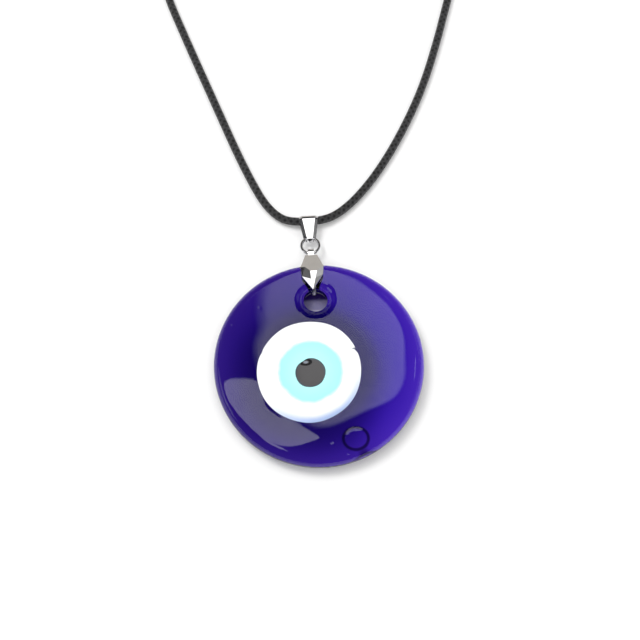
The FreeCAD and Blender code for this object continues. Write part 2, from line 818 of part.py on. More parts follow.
# ---------------------------------------------------------------- clasp

LEVER_PIN = (4.7, 1.6)  # from the eyelet's middle, along the clasp and across it
LEVER_TIP = (9.0, 2.3)
SPRING_TURNS = 2.5
SPRING_STEPS = 12  # places on each turn of the spring


def bar(name, start, end, width, thick, low):
    """A flat bar with round ends, between two places in the clasp's own frame."""
    body = new_body(name)
    run = Vector(end[0] - start[0], end[1] - start[1], 0)
    half = sized(width) / 2
    side = outline(
        new_sketch(body, "side"),
        (run.Length, -half), (run.Length + half, 0, half), (run.Length, half, half),
        (0, half), (-half, 0, half), (0, -half, half),
    )
    bind(feature(body, "Pad", side), Length=thick)
    turn = about("Z", math.degrees(math.atan2(run.y, run.x)))
    return place(body, start[0], start[1], low, turn)


def oval(name, x, half_length, half_width, thick, low):
    """A flat oval of blunt arcs in the clasp's own frame."""
    body = new_body(name)
    blunt = half_width * 0.8
    reach, crown = half_length - blunt, half_width - blunt
    flank = (reach * reach + crown * crown) / (2 * crown)
    side = outline(
        new_sketch(body, "side"),
        (reach, -blunt, flank), (half_length, 0, blunt), (reach, blunt, blunt),
        (0, half_width, flank), (-reach, blunt, flank),
        (-half_length, 0, blunt), (-reach, -blunt, blunt), (0, -half_width, flank),
    )
    bind(feature(body, "Pad", side), Length=thick)
    return place(body, x, 0, low)


def cutter(kind, name, x, y, low, **sizes):
    """A primitive placed in the clasp's own frame."""
    return place(solid(kind, name, **sizes), x, y, low)


def make_clasp_body(thick):
    """The hook with its eyelet, the cavity for the lever and spring, and the bore for the pin."""
    low, slot = -thick / 2, S["lever_slot"]
    middle = S["eyelet_radius"] + 0.8 + S["clasp_half_length"]
    eyelet = solid("Torus", "clasp_eyelet", Radius2=S["small_wire"] / 2,
                   Radius1=S["eyelet_radius"] - S["small_wire"] / 2)
    place(eyelet, turn=about("X", -EYELET_TILT))
    neck = bar("clasp_neck_bar", (2.4, 0), (4.0, 0), S["clasp_neck"], S["small_wire"],
               -S["small_wire"] / 2)
    shell = oval("clasp_shell", middle, S["clasp_half_length"], S["clasp_half_width"], thick, low)
    opening = oval("clasp_opening", middle + 0.9, S["clasp_open_half"], S["clasp_open_width"],
                   thick * 2, -thick)
    mouth = cutter("Box", "clasp_mouth", middle - 1.6, 0, -thick, Length=4.1, Width=4.0,
                   Height=thick * 2)
    cavity = cutter("Box", "clasp_cavity", LEVER_PIN[0] - 1.1, 0.35, -slot / 2, Length=2.2,
                    Width=4.0, Height=slot)
    bore = cutter("Cylinder", "clasp_bore", *LEVER_PIN, -thick,
                  Radius=S["clasp_pin"] + S["pin_fit"], Height=thick * 2)
    return boolean("Cut", "clasp_body", fused("clasp_solid", eyelet, neck, shell),
                   fused("clasp_tools", opening, mouth, cavity, bore))


def make_lever(slot):
    """The lever: an arm from the pin to the hook's tip, with a nub for the thumb."""
    low = S["metal_clear"] / 2 - slot / 2
    arm = bar("lever_arm", LEVER_PIN, LEVER_TIP, S["lever_width"], S["lever_thick"], low)
    thumb = bar("lever_thumb", (7.4, 2.0), (7.5, 3.6), S["lever_width"], S["lever_thick"], low)
    eye = cutter("Cylinder", "lever_eye", *LEVER_PIN, -slot,
                 Radius=S["clasp_pin"] + S["pin_fit"], Height=slot * 2)
    return boolean("Cut", "clasp_lever", fused("lever_solid", arm, thumb), eye)


def spring_shape():
    """The small spring wound round the pin, above the lever."""
    wire, radius = S["spring_wire"].value / 2, S["spring_radius"].value
    foot = Vector(*LEVER_PIN, S["pin_fit"].value + wire)
    spots = []
    for step in range(int(SPRING_TURNS * SPRING_STEPS) + 1):
        turn = step / SPRING_STEPS
        angle = 2 * math.pi * turn
        spots.append(foot + Vector(radius * math.cos(angle), radius * math.sin(angle),
                                   S["spring_pitch"].value * turn))
    curve = Part.BSplineCurve()
    curve.interpolate(spots)
    start = Part.makeCircle(wire, spots[0], curve.tangent(curve.FirstParameter)[0])
    return Part.Wire([curve.toShape()]).makePipeShell([Part.Wire(start)], True, True)


def make_clasp(tab, heading):
    """The clasp ring, the clasp with its lever, pin and spring, and the joint places."""
    near, far, first = make_small_ring("clasp_ring", tab, heading, LINK_TILT)
    thick = S["clasp_thick"]
    track = S["eyelet_radius"].value - S["small_wire"].value / 2
    middle = spot_after(far, heading, track - S["small_wire"].value - S["link_clear"].value)
    pin = cutter("Cylinder", "pin_blank", *LEVER_PIN, -thick / 2, Radius=S["clasp_pin"],
                 Height=thick)
    head = cutter("Cylinder", "pin_head", *LEVER_PIN, thick / 2, Radius=S["clasp_pin"] * 1.5,
                  Height=0.15)
    pieces = [make_clasp_body(thick), make_lever(S["lever_slot"]),
              fused("clasp_pin", pin, head), shaped("clasp_spring", spring_shape())]
    turn = about("Z", heading)
    for piece in pieces:
        place(piece, middle.x, middle.y, middle.z, turn)
    pin_place = middle + turn.multVec(Vector(*LEVER_PIN, 0))
    joints = [("clasp_ring", near), ("clasp_body", far), ("clasp_lever", pin_place)]
    return [first] + pieces, joints


# ---------------------------------------------------------------- the whole ornament


def make_cord():
    """The cord, its coil and tie, its crimps, and the chain and clasp on them."""
    turn = S["crimp_turn"].value
    chain_tab, chain_crimp = make_crimp("crimp_left", LEFT_TAIL_POINTS, turn)
    clasp_tab, clasp_crimp = make_crimp("crimp_right", RIGHT_TAIL_POINTS, -turn)
    tubes = [make_tube("cord_neck", NECK_POINTS), make_tube("cord_tail_left", LEFT_TAIL_POINTS),
             make_tube("cord_tail_right", RIGHT_TAIL_POINTS)]
    chain, chain_joints = make_chain(chain_tab, turn)
    clasp, clasp_joints = make_clasp(clasp_tab, -turn)
    pieces = tubes + [make_coil(), make_tie(), chain_crimp, clasp_crimp] + chain + clasp
    return pieces, chain_joints + clasp_joints


def check(pieces):
    """Stops if any object failed, or a piece isn't one or more sound solids."""
    document.recompute()
    for thing in document.Objects:
        if {"Invalid", "Error"} & set(thing.State):
            raise RuntimeError(f"{thing.Label} did not recompute: {thing.State}")
    for piece in pieces:
        shape = piece.Shape
        if shape.isNull() or not shape.isValid() or len(shape.Solids) != 1:
            raise RuntimeError(f"{piece.Label} is not one sound solid: {len(shape.Solids)}")


def main():
    cord, joints = make_cord()
    pieces = [make_disc()] + make_eye() + [make_cord_bail(), make_jump_ring(),
                                           make_pinch_bail()] + cord
    check(pieces)
    joints += [
        ("cord_bail", Vector(S["bail_x"].value, cord_y.value, cord_height.value)),
        ("jump_ring", Vector(S["bail_x"].value, ring_top_y.value, cord_height.value)),
        ("pinch_bail", Vector(S["bail_x"].value, bridge_y.value, bridge_z.value)),
        ("glass_disc", Vector(0.0, pivot_y.value, S["peg_height"].value)),
    ]
    for name, spot in joints:
        print("joint", name, round(spot.x, 3), round(spot.y, 3), round(spot.z, 3))
    os.makedirs("parts", exist_ok=True)
    for piece in pieces:
        piece.Shape.exportStep(f"parts/{piece.Label}.step")
        print("piece", piece.Label, "volume", round(piece.Shape.Volume, 2))


main()
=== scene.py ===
"""Evil eye ornament: the looks of a cobalt glass eye on its bails and its waxed cord.

The designed part is the frame. What the glass, the eye, the strap bail, the ring and the cord look like
is made here, in the frame's place and size, and the other metal pieces are the frame's own.
"""
import math

import bmesh
import bpy
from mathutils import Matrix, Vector


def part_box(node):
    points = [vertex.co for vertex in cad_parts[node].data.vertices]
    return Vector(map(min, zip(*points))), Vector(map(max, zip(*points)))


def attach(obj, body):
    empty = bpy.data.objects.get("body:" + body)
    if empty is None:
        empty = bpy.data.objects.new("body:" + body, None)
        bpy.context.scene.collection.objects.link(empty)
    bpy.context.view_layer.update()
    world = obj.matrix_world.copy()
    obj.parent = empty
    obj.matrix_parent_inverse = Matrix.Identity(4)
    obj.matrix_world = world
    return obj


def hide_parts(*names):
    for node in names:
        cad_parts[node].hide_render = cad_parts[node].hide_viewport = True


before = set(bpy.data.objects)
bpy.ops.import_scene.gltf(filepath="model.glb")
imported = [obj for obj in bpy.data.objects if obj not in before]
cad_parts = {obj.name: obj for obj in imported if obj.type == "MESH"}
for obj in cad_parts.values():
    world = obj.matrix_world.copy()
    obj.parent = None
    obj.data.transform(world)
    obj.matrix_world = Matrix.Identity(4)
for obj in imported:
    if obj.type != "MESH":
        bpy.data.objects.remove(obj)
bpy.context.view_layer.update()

bl_info = {
    "name": "Evil eye ornament",
    "version": (1, 0, 0),
    "blender": (4, 5, 0),
    "location": "View3D > Sidebar > Evil eye",
    "description": "Builds the looks of the evil eye ornament on its designed frame",
    "category": "Object",
}

MM = 0.001
METAL_NODES = (
    ["pinch_bail", "crimp_left", "crimp_right", "chain_ring"]
    + [f"chain_link_{number}" for number in range(1, 10)]
    + ["end_drop", "clasp_ring", "clasp_body", "clasp_lever", "clasp_pin", "clasp_spring"]
)

# Places in millimetres, in the frame: the middle of the flat back is 0, and +Z is out of the eye.
HOLE = (0.2, 15.7)
EYE = (-2.45, -2.5)
AQUA = (-2.18, -2.6)
PUPIL = (-2.18, -2.95)
STRAP_EYE = (-0.15, 37.308, 1.65)
DOME_RADIUS = 201.5
GLASS_TOP = 6.0
RIM_HEIGHT = 2.8
DIMPLE = (7.4, -18.8)
BUBBLE_RING = (2.9, 2.6)
CHIP = (20.2, 13.0)
COIL = (2.0, 85.65)
COIL_HEIGHT = 1.5

# The glass: its outline, the rounding of its edges, its hole and the raised ring of its back.
DISC_RADIUS = 25.0
FACE_RADIUS = 22.9
FACE_EDGE = 23.2
FACE_TURN = 82
FRONT_ROUND = 1.86
BACK_ROUND = 1.46
BACK_RADIUS = 23.4
BACK_EDGE_DEEP = 1.45
THROAT = 2.85
FLARE = 5.75
FLARE_DEEP = 1.9
BACK_FLARE = 3.95
BACK_FLARE_DEEP = 0.6

# The strap bail's loop over the cord, its hook round the ring, and the ring's own wire.
STRAP_LOOP = 1.62
STRAP_HOOK = 1.22
STRAP_RUN = 4.8
STRAP_WALL = 0.5
STRAP_CHAMFER = 0.38
RING_TRACK = 2.23
RING_WIRE = 0.42
RING_START = 112

# The coil: the radius of its outer turn, how much each turn shrinks, and how high the ends cross it.
COIL_TURN = 13.4
COIL_SHRINK = 4.2
CORD_STEP = 1.6

# The cord's corners, measured from the middle of the strap bail's eye, with the height over the table.
NECK_POINTS = (
    (-3.0, 99.1, 1.5), (-13.3, 99.1, 1.2), (-25.6, 93.7, 1.0), (-33.0, 83.9, 1.0),
    (-35.0, 71.9, 1.0), (-28.6, 53.0, 1.0), (-22.0, 34.4, 1.0), (-17.0, 20.2, 1.0),
    (-13.5, 11.5, 1.0), (-10.6, 5.4, 1.0), (-6.9, 1.2, 1.1), (-3.3, 0.0, 1.65),
    (3.4, 0.0, 1.65), (7.3, 1.6, 1.1), (12.4, 5.7, 1.0), (18.6, 12.9, 1.0),
    (25.4, 23.4, 1.0), (31.8, 35.8, 1.0), (36.6, 48.6, 1.0), (39.8, 58.4, 1.0),
    (41.8, 64.4, 1.0), (40.3, 69.6, 1.0), (36.0, 72.3, 1.0), (27.5, 73.4, 1.0),
    (15.5, 73.3, 1.2), (7.0, 72.35, 1.5),
)
LEFT_TAIL_POINTS = (
    (14.5, 94.85, 3.5), (18.0, 95.1, 3.45), (22.9, 96.1, 1.5), (27.4, 97.8, 1.47),
    (31.9, 99.75, 1.47),
)
RIGHT_TAIL_POINTS = (
    (14.5, 92.75, 3.5), (18.0, 92.5, 3.45), (22.9, 91.5, 1.5), (27.4, 89.8, 1.47),
    (31.9, 87.85, 1.47),
)

# Where the edge of each softbox is to be seen in the glass, and how wide it fades, in millimetres.
TOP_BOX = (
    (-12.9, 19.4, 5.0), (-7.7, 22.9, 3.0), (-3.1, 24.5, 2.0), (4.2, 24.3, 1.6), (10.3, 20.9, 1.4),
    (15.5, 15.9, 1.2), (19.0, 10.2, 1.0), (20.6, 3.2, 0.9), (20.2, -2.6, 0.9), (18.2, -7.8, 0.9),
    (15.2, -10.7, 1.0), (11.0, -12.9, 1.2), (5.5, -14.3, 1.4), (-1.0, -15.7, 1.8),
    (-5.4, -14.9, 2.5), (-10.3, -11.7, 3.0), (-13.6, -3.8, 4.0), (-13.6, 4.8, 4.0),
    (-12.0, 9.6, 5.0), (-13.4, 14.0, 5.0),
)
LOW_BOX = (
    (-23.1, -6.0, 0.5), (-21.4, -4.0, 0.8), (-18.0, -4.0, 0.8), (-15.2, -3.8, 0.8),
    (-14.3, -8.6, 0.4), (-12.0, -11.6, 0.4), (-8.2, -14.2, 0.5), (-4.5, -16.6, 0.5),
    (-1.5, -18.3, 0.3), (-5.5, -18.9, 0.25), (-10.6, -19.5, 0.3), (-14.6, -17.9, 0.4),
    (-17.8, -15.2, 0.5), (-20.4, -11.5, 0.5), (-22.3, -8.3, 0.5),
)
BOX_HEIGHT = 400.0
TABLE_HALF = 1500
TABLE_HEIGHT = -0.1
CAMERA_PLACE = (-4.9, -78.9, 275.4)
CAMERA_TARGET = (1.02, 11.91, 0.0)


# ---------------------------------------------------------------- settings


class OrnamentGlass(bpy.types.PropertyGroup):
    tint: bpy.props.FloatVectorProperty(
        name="Glass tint", description="What the cobalt glass lets through", subtype="COLOR",
        default=(0.42, 0.2, 0.8), min=0.0, max=1.0)
    density: bpy.props.FloatProperty(
        name="Density", description="How strongly the glass absorbs, for each metre of path",
        default=1550.0, min=0.0)
    waves: bpy.props.FloatProperty(
        name="Waves", description="Height of the unevenness of the poured face",
        default=0.02 * MM, unit="LENGTH")


class OrnamentEye(bpy.types.PropertyGroup):
    white: bpy.props.FloatVectorProperty(
        name="White", description="Colour of the white drop", subtype="COLOR",
        default=(0.93, 0.94, 0.94), min=0.0, max=1.0)
    aqua: bpy.props.FloatVectorProperty(
        name="Aqua", description="Colour of the aqua drop", subtype="COLOR",
        default=(0.36, 0.88, 0.82), min=0.0, max=1.0)
    dark: bpy.props.FloatVectorProperty(
        name="Dark", description="Colour of the pupil", subtype="COLOR",
        default=(0.02, 0.019, 0.022), min=0.0, max=1.0)
    white_radius: bpy.props.FloatProperty(
        name="White radius", description="Radius of the white drop", default=12.25 * MM,
        unit="LENGTH")
    aqua_radius: bpy.props.FloatProperty(
        name="Aqua radius", description="Radius of the aqua drop, with its blurred edge",
        default=7.9 * MM, unit="LENGTH")
    pupil_radius: bpy.props.FloatProperty(
        name="Pupil radius", description="Radius of the pupil", default=3.55 * MM, unit="LENGTH")


class OrnamentMetal(bpy.types.PropertyGroup):
    silver: bpy.props.FloatVectorProperty(
        name="Silver", description="Colour of the plated metal", subtype="COLOR",
        default=(0.87, 0.87, 0.88), min=0.0, max=1.0)
    roughness: bpy.props.FloatProperty(
        name="Roughness", description="Roughness of the plating", default=0.09, min=0.0, max=1.0)


class OrnamentCord(bpy.types.PropertyGroup):
    colour: bpy.props.FloatVectorProperty(
        name="Cord", description="Colour of the waxed cord", subtype="COLOR",
        default=(0.034, 0.034, 0.036), min=0.0, max=1.0)
    width: bpy.props.FloatProperty(
        name="Width", description="Diameter of the cord", default=2.0 * MM, unit="LENGTH")
    braid: bpy.props.FloatProperty(
        name="Braid", description="Length of one stitch of the braid", default=1.5 * MM,
        unit="LENGTH")
    length: bpy.props.FloatProperty(
        name="Length", description="Length of the whole cord, coil included", default=0.49,
        unit="LENGTH")


class OrnamentStage(bpy.types.PropertyGroup):
    softbox: bpy.props.FloatProperty(
        name="Softbox", description="Brightness of the softboxes seen in the glass", default=2.0)
    surround: bpy.props.FloatProperty(
        name="Surround", description="Brightness of the even light", default=0.86)
    lens: bpy.props.FloatProperty(
        name="Lens", description="Focal length of the camera, in millimetres", default=67.1)


SETTINGS = {
    "ornament_glass": OrnamentGlass,
    "ornament_eye": OrnamentEye,
    "ornament_metal": OrnamentMetal,
    "ornament_cord": OrnamentCord,
    "ornament_stage": OrnamentStage,
}


# ---------------------------------------------------------------- shader maths


class Value:
    """The output of a shader node, or a number, with arithmetic that adds Math nodes."""

    def __init__(self, shader, source):
        self.shader = shader
        self.source = source

    def maths(self, operation, *others):
        node = self.shader.nodes.new("ShaderNodeMath")
        node.operation = operation
        for socket, item in zip(node.inputs, (self, *others)):
            self.shader.feed(socket, item)
        return Value(self.shader, node.outputs[0])

    def __add__(self, other):
        return self.maths("ADD", other)

    def __radd__(self, other):
        return self.maths("ADD", other)

    def __sub__(self, other):
        return self.maths("SUBTRACT", other)

    def __rsub__(self, other):
        return Value(self.shader, other).maths("SUBTRACT", self)

    def __mul__(self, other):
        return self.maths("MULTIPLY", other)

    def __rmul__(self, other):
        return self.maths("MULTIPLY", other)

    def __truediv__(self, other):
        return self.maths("DIVIDE", other)

    def __pow__(self, other):
        return self.maths("POWER", other)

    def sine(self):
        return self.maths("SINE")

    def root(self):
        return self.maths("SQRT")

    def largest(self, other):
        return self.maths("MAXIMUM", other)

    def least(self, other):
        return self.maths("MINIMUM", other)

    def step(self, low, high):
        """0 below low and 1 above high, with a smooth climb between."""
        node = self.shader.nodes.new("ShaderNodeMapRange")
        node.interpolation_type = "SMOOTHSTEP"
        self.shader.feed(node.inputs[0], self)
        self.shader.feed(node.inputs[1], low)
        self.shader.feed(node.inputs[2], high)
        return Value(self.shader, node.outputs[0])


class Shader:
    """A tree of shader nodes, and a few short ways to add to it."""

    def __init__(self, tree):
        self.tree = tree
        self.nodes = tree.nodes

    def feed(self, socket, item):
        """Links a value to a socket, or sets the socket to a number."""
        source = item.source if isinstance(item, Value) else item
        if isinstance(source, bpy.types.NodeSocket):
            self.tree.links.new(source, socket)
        else:
            socket.default_value = source

    def add(self, kind, output=0, settings=None, **inputs):
        """Adds a node of any kind, and gives one of its outputs."""
        node = self.nodes.new(kind)
        for label, choice in (settings or {}).items():
            setattr(node, label, choice)
        for label, item in inputs.items():
            self.feed(node.inputs[label.replace("_", " ")], item)
        return Value(self, node.outputs[output])

    def parts(self, label):
        """The x, y and z of one of the texture coordinates."""
        split = self.nodes.new("ShaderNodeSeparateXYZ")
        self.feed(split.inputs[0], self.add("ShaderNodeTexCoord", label))
        return [Value(self, output) for output in split.outputs]

    def place(self):
        """The object's own coordinates, x, y and z, in metres."""
        return self.parts("Object")

    def noise(self, scale, detail=2.0, distortion=0.0):
        """Noise about 0.5 over the object's own coordinates."""
        where = self.add("ShaderNodeTexCoord", "Object")
        return self.add("ShaderNodeTexNoise", "Fac", Vector=where, Scale=scale, Detail=detail,
                        Distortion=distortion)

    def mix(self, factor, low, high):
        """A colour between two others."""
        node = self.nodes.new("ShaderNodeMix")
        node.data_type = "RGBA"
        self.feed(node.inputs[0], factor)
        self.feed(node.inputs[6], solid(low))
        self.feed(node.inputs[7], solid(high))
        return Value(self, node.outputs[2])


class Surface(Shader):
    """A material's nodes, with one Principled surface."""

    def __init__(self, name, **constants):
        self.material = bpy.data.materials.new(name)
        self.material.use_nodes = True
        super().__init__(self.material.node_tree)
        self.surface = self.nodes["Principled BSDF"]
        self.output = self.nodes["Material Output"]
        for label, number in constants.items():
            self.surface.inputs[label.replace("_", " ")].default_value = number

    def bump(self, height, distance, strength=1.0):
        """Bends the surface's normal by a height."""
        normal = self.add("ShaderNodeBump", Height=height, Distance=distance, Strength=strength)
        self.feed(self.surface.inputs["Normal"], normal)

    def vary(self, label, item):
        """Feeds a varying value to the surface."""
        self.feed(self.surface.inputs[label], item)


def solid(colour):
    """A colour with its alpha, or a value as it is."""
    return colour if isinstance(colour, Value) else (*tuple(colour)[:3], 1.0)


def away_from(shader, x, y):
    """Distance of the shaded point from a place on the disc, in millimetres, and its offsets."""
    along, across, _ = shader.place()
    right, up = along * 1000.0 - x, across * 1000.0 - y
    return (right * right + up * up).root(), right, up


# ---------------------------------------------------------------- materials


def glass_material(settings):
    shader = Surface("cobalt_glass", Base_Color=(1, 1, 1, 1), Roughness=0.0, IOR=1.5,
                    Transmission_Weight=1.0)
    absorb = shader.add("ShaderNodeVolumeAbsorption", Color=solid(settings.tint),
                        Density=settings.density)
    shader.feed(shader.output.inputs["Volume"], absorb)
    where = shader.add("ShaderNodeTexCoord", "Object")
    speck = shader.add("ShaderNodeTexVoronoi", "Distance", Vector=where, Scale=260.0)
    rare = shader.noise(170.0, 0.0).step(0.60, 0.66)
    shader.bump(shader.noise(60.0, 1.0) * 3.0 - (1.0 - speck.step(0.05, 0.16)) * rare, 0.0002, 0.2)
    return shader.material


def white_material(settings):
    shader = Surface("white_glass", Roughness=0.12, Coat_Weight=0.3, Coat_Roughness=0.03)
    radius, right, up = away_from(shader, *EYE)
    wobble = shader.noise(220.0) * 0.6
    edge = (radius + wobble).step(10.9, 12.7)
    # Painted shade: the drop is tinted bluish grey along its lower edge, and a little round its whole
    # edge.
    lower = (up * -0.9 + right * 0.25).step(2.0, 11.0)
    shade = ((radius + wobble).step(10.4, 12.2) * lower * 0.9 + edge * 0.12).least(1.0)
    body = shader.mix(shade, settings.white, (0.40, 0.52, 0.80))
    nick = 1.0 - (((right - 11.3) * 0.9) ** 2.0 + ((up - 4.9) * 3.5) ** 2.0).root().step(0.5, 1.0)
    shader.vary("Base Color", shader.mix(nick * 0.85, body, (0.03, 0.05, 0.12)))
    return shader.material


def aqua_material(settings):
    shader = Surface("aqua_glass", Roughness=0.12, Coat_Weight=0.3, Coat_Roughness=0.03)
    radius, _, _ = away_from(shader, *AQUA)
    wobble = shader.noise(260.0, 3.0) * 1.5 - 0.75
    blur = (radius + wobble).step(6.9, 8.0)
    inner = (radius + wobble).step(3.4, 7.0)
    body = shader.mix(inner, (0.42, 0.92, 0.92), settings.aqua)
    shader.vary("Base Color", shader.mix(blur, body, settings.white))
    return shader.material


def pupil_material(settings):
    shader = Surface("dark_glass", Roughness=0.16, IOR=1.62)
    radius, right, up = away_from(shader, *PUPIL)
    rim = (radius + shader.noise(700.0) * 0.4).step(3.2, 3.75)
    body = shader.mix(rim, settings.dark, (0.012, 0.03, 0.05))
    oval = (((right + 0.95) * 0.42) ** 2.0 + ((up - 2.6) * 0.75) ** 2.0).root()
    ring = oval.step(0.30, 0.42) * (1.0 - oval.step(0.52, 0.66))
    # The spot is a painted highlight in the middle of the bubble's ring.
    spot = 1.0 - oval.step(0.12, 0.3)
    body = shader.mix(ring, body, (0.002, 0.002, 0.004))
    shader.vary("Base Color", shader.mix(spot * 0.8, body, (0.20, 0.24, 0.30)))
    shader.vary("Roughness", 0.16 + ring * 0.5)
    shader.bump(ring * -1.0 + shader.noise(400.0, 1.0) * 0.15, 0.0002, 0.8)
    return shader.material


def silver_material(name, settings, roughness):
    shader = Surface(name, Base_Color=solid(settings.silver), Metallic=1.0)
    speckle = shader.noise(900.0, 3.0)
    shader.vary("Roughness", roughness + speckle * 0.06)
    shader.bump(shader.noise(350.0, 2.0), 0.00002, 0.25)
    return shader.material


def cord_material(settings):
    """The braid: strands that cross both ways round the cord, darker in the gaps between them, with
    painted highlight flecks on their tops.
    """
    shader = Surface("waxed_cord", Specular_IOR_Level=0.5)
    lengthways, round_it, _ = shader.parts("UV")
    stitches = settings.length / settings.braid
    along = lengthways * (stitches * 2 * math.pi)
    around = round_it * (4 * 2 * math.pi)
    first, second = (along + around).sine(), (along - around).sine()
    over = (along * 0.5).sine() * (around * 0.5).sine()
    strands = first.largest(second) * 0.7 + over * 0.3
    fibre = shader.noise(2600.0, 3.0)
    tone = strands.step(-0.6, 1.0)
    # Painted highlight flecks: the tops of the strands are mixed towards a lighter grey.
    highlight_flecks = shader.noise(60.0, 2.0)
    body = shader.mix(tone, (0.004, 0.004, 0.004), settings.colour)
    shader.vary("Base Color", shader.mix(highlight_flecks * tone * 0.35, body, (0.06, 0.06, 0.064)))
    shader.vary("Roughness", 0.34 + fibre * 0.25)
    shader.bump(strands * 0.8 + fibre * 0.25, 0.00016, 0.9)
    return shader.material


def band_material():
    shader = Surface("tie_band", Base_Color=(0.018, 0.018, 0.02, 1))
    grain = shader.noise(1400.0, 3.0)
    shader.vary("Roughness", 0.5 + grain * 0.3)
    shader.bump(grain, 0.00005, 0.5)
    return shader.material


# ---------------------------------------------------------------- meshes


def mesh_object(name, points, faces, material, smooth=180.0):
    """A mesh piece from points in millimetres, shaded smooth up to an angle."""
    mesh = bpy.data.meshes.new(name)
    mesh.from_pydata([[axis * MM for axis in point] for point in points], [], faces)
    work = bmesh.new()
    work.from_mesh(mesh)
    bmesh.ops.remove_doubles(work, verts=work.verts, dist=1e-7)
    bmesh.ops.recalc_face_normals(work, faces=work.faces)
    work.to_mesh(mesh)
    work.free()
    mesh.materials.append(material)
    soften(mesh, smooth)
    piece = bpy.data.objects.new(name, mesh)
    bpy.context.scene.collection.objects.link(piece)
    return piece


def soften(mesh, angle):
    """Shades a mesh smooth, except over edges sharper than an angle in degrees."""
    mesh.shade_smooth()
    if angle < 180.0:
        mesh.set_sharp_from_angle(angle=math.radians(angle))


def looped(rows, close_rows=True):
    """Quads between rows of points: each row is a loop, and the rows can close on each other."""
    count, width = len(rows), len(rows[0])
    points = [point for row in rows for point in row]
    faces = []
    for row in range(count if close_rows else count - 1):
        after = (row + 1) % count
        for item in range(width):
            beside = (item + 1) % width
            faces.append((row * width + item, row * width + beside,
                          after * width + beside, after * width + item))
    return points, faces


def dress(piece, body, material_slot, *nodes):
    """The piece rides on a body, in the place of the designed nodes."""
    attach(piece, body)
    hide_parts(*nodes)
    return piece


# ---------------------------------------------------------------- glass


def smoothed(value, low, high):
    part = min(max((value - low) / (high - low), 0.0), 1.0)
    return part * part * (3.0 - 2.0 * part)


def dome(x, y):
    """Height of the face as if it were even: a shallow dome."""
    return GLASS_TOP - (x * x + y * y) / (2 * DOME_RADIUS)


def front_height(x, y, waves):
    """Height of the poured face: the dome, uneven, with a chip near the rim and one bubble."""
    height = dome(x, y) - 0.12 * math.exp(-(math.hypot(x - CHIP[0], y - CHIP[1]) / 0.6) ** 2)
    height += waves * (math.sin(0.31 * x + 1.1) * math.sin(0.27 * y - 0.4)
                       + 0.6 * math.sin(0.19 * x - 0.33 * y))
    right, up = x - DIMPLE[0], y - DIMPLE[1]
    away = math.hypot(right / 3.1, up / 2.7)
    if away < 1.35:
        height += 0.03 * max(0.0, 1 - away * away) ** 2
        height -= 0.05 * math.exp(-((away - 0.95) / 0.15) ** 2)
    return height


def back_height(x, y):
    """Height of the back: the flat it rests on, a foot, and a nearly flat raised ring."""
    away = math.hypot(x, y)
    return 1.15 * smoothed(away, 11.2, 15.2) + 0.2 * smoothed(away, 14.9, 23.4)


def nested(first, second, steps, height):
    """Circles that grow from one circle (x, y, radius) to another over a surface."""
    rows = []
    for step in range(steps):
        part = (step + 0.5) / steps
        x, y, radius = (low + (high - low) * part for low, high in zip(first, second))
        rows.append(circle_row(x, y, radius, height))
    return rows


def circle_row(x, y, radius, height, turns=288):
    row = []
    for item in range(turns):
        angle = 2 * math.pi * item / turns
        spot = (x + radius * math.cos(angle), y + radius * math.sin(angle))
        row.append((*spot, height(*spot)))
    return row


def make_glass(settings):
    waves = settings.waves / MM
    front = lambda x, y: front_height(x, y, waves)
    rows = []
    for step in range(13):  # the flare of the hole, from its wall up to the face
        angle = math.radians(90 - 90 * step / 12)
        drop = FLARE_DEEP - FLARE_DEEP * math.cos(angle)
        rows.append(circle_row(*HOLE, FLARE - (FLARE - THROAT) * math.sin(angle),
                               lambda x, y, drop=drop: front(x, y) - drop))
    rows += nested((*HOLE, FLARE), (0.0, 0.0, FACE_RADIUS), 72, front)
    edge = dome(FACE_EDGE, 0.0) - RIM_HEIGHT
    for step in range(12):  # the front edge
        angle = math.radians(FACE_TURN - FACE_TURN * step / 12)
        rows.append(circle_row(0, 0, DISC_RADIUS - FRONT_ROUND + FRONT_ROUND * math.cos(angle),
                               lambda x, y, rise=edge * math.sin(angle): RIM_HEIGHT + rise))
    for step in range(12):  # the back edge
        angle = math.radians(90 * step / 12)
        fall = BACK_EDGE_DEEP * math.sin(angle)
        rows.append(circle_row(0, 0, DISC_RADIUS - BACK_ROUND + BACK_ROUND * math.cos(angle),
                               lambda x, y, fall=fall: RIM_HEIGHT - fall))
    rows += nested((0.0, 0.0, BACK_RADIUS), (*HOLE, BACK_FLARE), 64, back_height)
    for step in range(9):  # the back of the hole
        angle = math.radians(90 * step / 8)
        rise = BACK_FLARE_DEEP - BACK_FLARE_DEEP * math.cos(angle)
        rows.append(circle_row(*HOLE, BACK_FLARE - (BACK_FLARE - THROAT) * math.sin(angle),
                               lambda x, y, rise=rise: back_height(x, y) + rise))
    piece = mesh_object("glass_body", *looped(rows), glass_material(settings))
    return dress(piece, "glass", "cobalt_glass", "glass_disc")


# ---------------------------------------------------------------- eye


